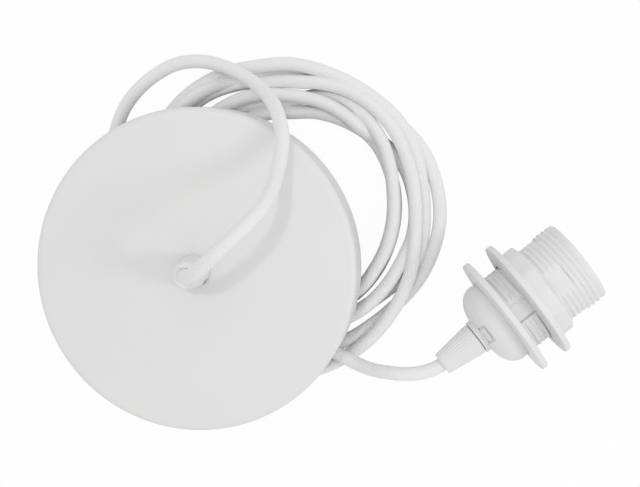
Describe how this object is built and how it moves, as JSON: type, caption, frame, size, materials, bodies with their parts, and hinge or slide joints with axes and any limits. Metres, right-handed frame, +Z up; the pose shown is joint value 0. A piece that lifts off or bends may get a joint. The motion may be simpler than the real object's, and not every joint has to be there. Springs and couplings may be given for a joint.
{
  "type": "pendant cord set",
  "caption": "Pendant cord set: round ceiling canopy, textile cord in a loose coil, and a screw lampholder with a shade ring.",
  "frame": {"origin": "bottom centre of the box round the canopy and the lampholder, on the surface that the set lies on", "axes": "+X along the lampholder's axis, out of its mouth; +Z up; the cord is left out of the claims"},
  "size_m": [0.2102, 0.2172, 0.0867],
  "materials": {
    "moulded_plastic": "satin moulded",
    "inner_plastic": "matte",
    "plated_steel": "zinc plated",
    "brass": "pressed",
    "brown_core": "extruded",
    "blue_core": "extruded",
    "textile_cord": "braided"
  },
  "bodies": {
    "root": {"canopy_cup": "moulded_plastic", "cord_lock": "moulded_plastic", "cord_grip_nut": "moulded_plastic", "holder_cap": "moulded_plastic", "holder_skirt": "moulded_plastic", "shade_ring": "moulded_plastic", "canopy_locknut": "inner_plastic", "suspension_hook": "inner_plastic", "terminal_block": "inner_plastic", "grip_collet": "inner_plastic", "contact_carrier": "inner_plastic", "cord_lock_screw": "plated_steel", "terminal_screw_live": "plated_steel", "terminal_screw_neutral": "plated_steel", "carrier_screw_left": "plated_steel", "carrier_screw_right": "plated_steel", "holder_terminal_screw_live": "plated_steel", "holder_terminal_screw_neutral": "plated_steel", "screw_shell": "brass", "centre_contact": "brass", "side_contact": "brass", "core_canopy_live": "brown_core", "core_holder_live": "brown_core", "core_canopy_neutral": "blue_core", "core_holder_neutral": "blue_core", "cord_canopy_lead": "textile_cord", "cord_coil": "textile_cord", "cord_holder_lead": "textile_cord"}
  },
  "joints": []
}
